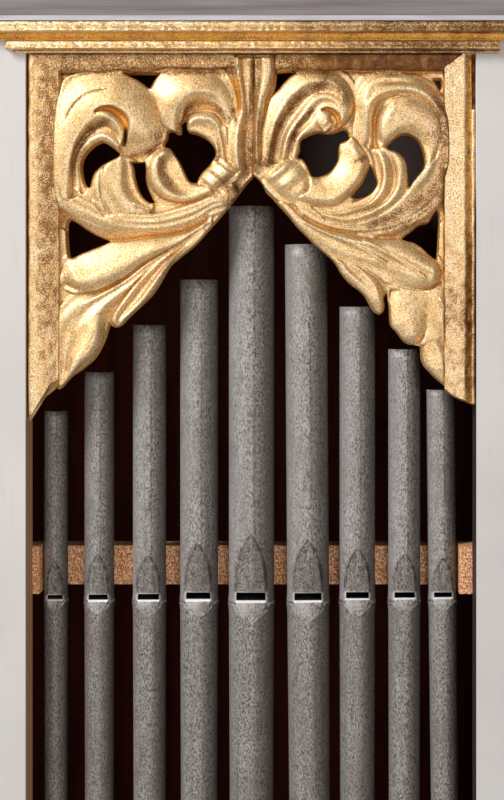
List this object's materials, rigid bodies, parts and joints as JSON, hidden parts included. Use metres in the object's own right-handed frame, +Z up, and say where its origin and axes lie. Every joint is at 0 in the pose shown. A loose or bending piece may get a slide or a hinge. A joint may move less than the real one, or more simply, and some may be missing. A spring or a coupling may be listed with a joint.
{
  "type": "organ case bay with display pipes",
  "caption": "Free-standing bay of a pipe organ case: painted front, gilded cornice and carved pipe shades over a pointed flat of open metal flue pipes on a toe board.",
  "frame": {"origin": "middle of the base, on the floor", "axes": "+Z up, the pipes' front faces -Y, +X to the right seen from the front"},
  "size_m": [0.432, 0.292, 0.772],
  "materials": {
    "painted_wood": "white oil paint on wood, satin, softly worn",
    "gilding": "gold leaf over gesso on carved wood, burnished on the ridges",
    "bare_wood": "rough sawn softwood, aged",
    "pipe_metal": "tin and lead pipe metal, dull, speckled and lightly streaked"
  },
  "bodies": {
    "root": {"left_stile": "painted_wood", "right_stile": "painted_wood", "top_rail": "painted_wood", "bottom_rail": "painted_wood", "crown_moulding": "painted_wood", "left_side_panel": "painted_wood", "right_side_panel": "painted_wood", "back_panel": "painted_wood", "roof_board": "painted_wood", "cornice_moulding": "gilding", "frieze_strip": "gilding", "left_frame_strip": "gilding", "right_frame_strip": "gilding", "left_pipe_shade": "gilding", "right_pipe_shade": "gilding", "floor_board": "bare_wood", "toe_board": "bare_wood", "left_toe_batten": "bare_wood", "right_toe_batten": "bare_wood", "pipe_rail": "bare_wood", "left_rail_cleat": "bare_wood", "right_rail_cleat": "bare_wood", "pipe_body_1": "pipe_metal", "pipe_body_2": "pipe_metal", "pipe_body_3": "pipe_metal", "pipe_body_4": "pipe_metal", "pipe_body_5": "pipe_metal", "pipe_body_6": "pipe_metal", "pipe_body_7": "pipe_metal", "pipe_body_8": "pipe_metal", "pipe_body_9": "pipe_metal", "pipe_foot_1": "pipe_metal", "pipe_foot_2": "pipe_metal", "pipe_foot_3": "pipe_metal", "pipe_foot_4": "pipe_metal", "pipe_foot_5": "pipe_metal", "pipe_foot_6": "pipe_metal", "pipe_foot_7": "pipe_metal", "pipe_foot_8": "pipe_metal", "pipe_foot_9": "pipe_metal", "languids": "pipe_metal"}
  },
  "joints": []
}
